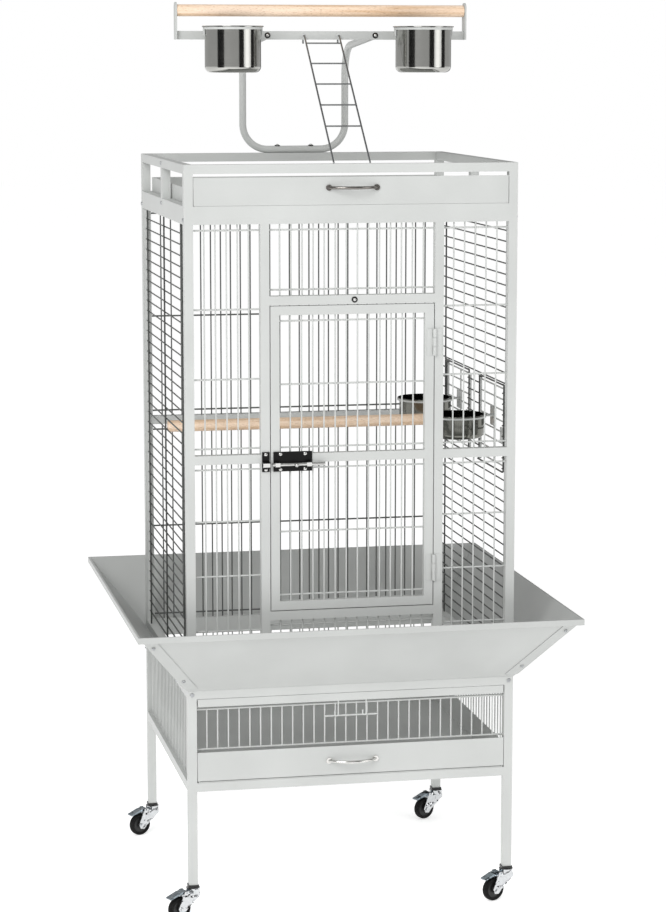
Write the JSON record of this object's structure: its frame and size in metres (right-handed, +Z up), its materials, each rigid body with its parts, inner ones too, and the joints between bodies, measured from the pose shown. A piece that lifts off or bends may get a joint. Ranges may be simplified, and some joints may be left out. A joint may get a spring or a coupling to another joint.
{
  "type": "bird cage on stand",
  "caption": "Wheeled parrot cage on a stand with a hinged front door, play top, slide-out trays, seed guard and swing-out feeders.",
  "frame": {"origin": "on the floor, under the middle of the cage", "axes": "+Z up, +X to the right seen from the door side, the door faces -Y"},
  "size_m": [0.7494, 0.7314, 1.529],
  "materials": {
    "frame_coat": "chalk-white powder coat",
    "tray_coat": "chalk-white powder coat on sheet",
    "guard_coat": "pale grey powder coat on sheet",
    "perch_wood": "sanded pale dowel",
    "cup_steel": "polished stainless steel",
    "latch_black": "satin black",
    "bolt_chrome": "bright plated",
    "pull_dark": "dark plated",
    "pull_light": "bright plated",
    "dark_fastener": "plated bolt with a dark washer",
    "screw_steel": "zinc-plated screws",
    "caster_chrome": "bright plated pressed steel",
    "tyre_black": "black hard rubber",
    "brake_grey": "grey-blue moulded tab"
  },
  "bodies": {
    "root": {"stand_side_left": "frame_coat", "stand_side_right": "frame_coat", "stand_back": "frame_coat", "stand_rails_front": "frame_coat", "guard_front": "frame_coat", "guard_left": "frame_coat", "guard_right": "frame_coat", "apron_front": "guard_coat", "apron_back": "guard_coat", "apron_left": "guard_coat", "apron_right": "guard_coat", "apron_corner_strips": "guard_coat", "cage_front": "frame_coat", "cage_back": "frame_coat", "cage_left": "frame_coat", "cage_right": "frame_coat", "top_side_left": "frame_coat", "top_side_right": "frame_coat", "top_rails_front": "frame_coat", "top_rails_back": "frame_coat", "roof_grille": "frame_coat", "play_tube": "frame_coat", "play_bar": "frame_coat", "play_perch": "perch_wood", "cup_ring_left": "frame_coat", "cup_ring_right": "frame_coat", "play_bolts": "dark_fastener", "cage_perch": "perch_wood", "door_hinges_fixed": "frame_coat", "latch_keeper": "latch_black", "frame_screws": "screw_steel", "caster_stems": "caster_chrome"},
    "main_door": {"main_door": "frame_coat", "door_hinge_leaves": "frame_coat", "latch_plate": "latch_black"},
    "latch_bolt": {"latch_bolt": "bolt_chrome"},
    "play_tray": {"play_tray": "tray_coat", "play_tray_pull": "pull_dark"},
    "grate": {"grate": "frame_coat"},
    "debris_tray": {"debris_tray": "tray_coat", "debris_tray_pull": "pull_light"},
    "feeder_door_front": {"feeder_door_front": "frame_coat"},
    "feeder_door_back": {"feeder_door_back": "frame_coat"},
    "feeder_cup_front": {"feeder_cup_front": "cup_steel"},
    "feeder_cup_back": {"feeder_cup_back": "cup_steel"},
    "play_cup_left": {"play_cup_left": "cup_steel"},
    "play_cup_right": {"play_cup_right": "cup_steel"},
    "ladder": {"ladder": "frame_coat"},
    "caster_front_left": {"caster_fork_front_left": "caster_chrome"},
    "wheel_front_left": {"caster_wheel_front_left": "tyre_black"},
    "brake_front_left": {"caster_brake_front_left": "brake_grey"},
    "caster_front_right": {"caster_fork_front_right": "caster_chrome"},
    "wheel_front_right": {"caster_wheel_front_right": "tyre_black"},
    "brake_front_right": {"caster_brake_front_right": "brake_grey"},
    "caster_back_left": {"caster_fork_back_left": "caster_chrome"},
    "wheel_back_left": {"caster_wheel_back_left": "tyre_black"},
    "brake_back_left": {"caster_brake_back_left": "brake_grey"},
    "caster_back_right": {"caster_fork_back_right": "caster_chrome"},
    "wheel_back_right": {"caster_wheel_back_right": "tyre_black"},
    "brake_back_right": {"caster_brake_back_right": "brake_grey"}
  },
  "joints": [
    {"name": "main_door_hinge", "type": "hinge", "parent": "root", "child": "main_door", "pos_m": [0.13875, -0.2675, 0.78], "axis": [0, 0, 1], "range_deg": [0, 150]},
    {"name": "latch_bolt_slide", "type": "slide", "parent": "main_door", "child": "latch_bolt", "axis": [-1, 0, 0], "range_m": [0, 0.014]},
    {"name": "play_tray_slide", "type": "slide", "parent": "root", "child": "play_tray", "axis": [0, -1, 0], "range_m": [0, 0.4]},
    {"name": "grate_slide", "type": "slide", "parent": "root", "child": "grate", "axis": [0, -1, 0], "range_m": [0, 0.4]},
    {"name": "debris_tray_slide", "type": "slide", "parent": "root", "child": "debris_tray", "axis": [0, -1, 0], "range_m": [0, 0.4]},
    {"name": "feeder_door_front_hinge", "type": "hinge", "parent": "root", "child": "feeder_door_front", "pos_m": [0.2796, -0.037, 0.8], "axis": [0, 0, 1], "range_deg": [0, 100]},
    {"name": "feeder_cup_front_lift", "type": "slide", "parent": "feeder_door_front", "child": "feeder_cup_front", "axis": [0, 0, 1], "range_m": [0, 0.09]},
    {"name": "feeder_door_back_hinge", "type": "hinge", "parent": "root", "child": "feeder_door_back", "pos_m": [0.2796, 0.201, 0.8], "axis": [0, 0, 1], "range_deg": [0, 100]},
    {"name": "feeder_cup_back_lift", "type": "slide", "parent": "feeder_door_back", "child": "feeder_cup_back", "axis": [0, 0, 1], "range_m": [0, 0.09]},
    {"name": "play_cup_left_lift", "type": "slide", "parent": "root", "child": "play_cup_left", "axis": [0, 0, 1], "range_m": [0, 0.12]},
    {"name": "play_cup_right_lift", "type": "slide", "parent": "root", "child": "play_cup_right", "axis": [0, 0, 1], "range_m": [0, 0.12]},
    {"name": "ladder_hinge", "type": "hinge", "parent": "root", "child": "ladder", "pos_m": [0, 0, 1.46425], "axis": [-1, 0, 0], "range_deg": [0, 30]},
    {"name": "caster_front_left_swivel", "type": "hinge", "parent": "root", "child": "caster_front_left", "pos_m": [-0.2725, -0.2565, 0.05], "axis": [0, 0, 1], "continuous": true},
    {"name": "wheel_front_left_spin", "type": "hinge", "parent": "caster_front_left", "child": "wheel_front_left", "pos_m": [-0.29753, -0.26661, 0.02], "axis": [0.3746, -0.9272, 0], "continuous": true},
    {"name": "brake_front_left_press", "type": "hinge", "parent": "caster_front_left", "child": "brake_front_left", "pos_m": [-0.28919, -0.26324, 0.048], "axis": [0.3746, -0.9272, 0], "range_deg": [0, 6]},
    {"name": "caster_front_right_swivel", "type": "hinge", "parent": "root", "child": "caster_front_right", "pos_m": [0.2725, -0.2565, 0.05], "axis": [0, 0, 1], "continuous": true},
    {"name": "wheel_front_right_spin", "type": "hinge", "parent": "caster_front_right", "child": "wheel_front_right", "pos_m": [0.24747, -0.26661, 0.02], "axis": [0.3746, -0.9272, 0], "continuous": true},
    {"name": "brake_front_right_press", "type": "hinge", "parent": "caster_front_right", "child": "brake_front_right", "pos_m": [0.25581, -0.26324, 0.048], "axis": [0.3746, -0.9272, 0], "range_deg": [0, 6]},
    {"name": "caster_back_left_swivel", "type": "hinge", "parent": "root", "child": "caster_back_left", "pos_m": [-0.2725, 0.2565, 0.05], "axis": [0, 0, 1], "continuous": true},
    {"name": "wheel_back_left_spin", "type": "hinge", "parent": "caster_back_left", "child": "wheel_back_left", "pos_m": [-0.29753, 0.24639, 0.02], "axis": [0.3746, -0.9272, 0], "continuous": true},
    {"name": "brake_back_left_press", "type": "hinge", "parent": "caster_back_left", "child": "brake_back_left", "pos_m": [-0.28919, 0.24976, 0.048], "axis": [0.3746, -0.9272, 0], "range_deg": [0, 6]},
    {"name": "caster_back_right_swivel", "type": "hinge", "parent": "root", "child": "caster_back_right", "pos_m": [0.2725, 0.2565, 0.05], "axis": [0, 0, 1], "continuous": true},
    {"name": "wheel_back_right_spin", "type": "hinge", "parent": "caster_back_right", "child": "wheel_back_right", "pos_m": [0.24747, 0.24639, 0.02], "axis": [0.3746, -0.9272, 0], "continuous": true},
    {"name": "brake_back_right_press", "type": "hinge", "parent": "caster_back_right", "child": "brake_back_right", "pos_m": [0.25581, 0.24976, 0.048], "axis": [0.3746, -0.9272, 0], "range_deg": [0, 6]}
  ]
}
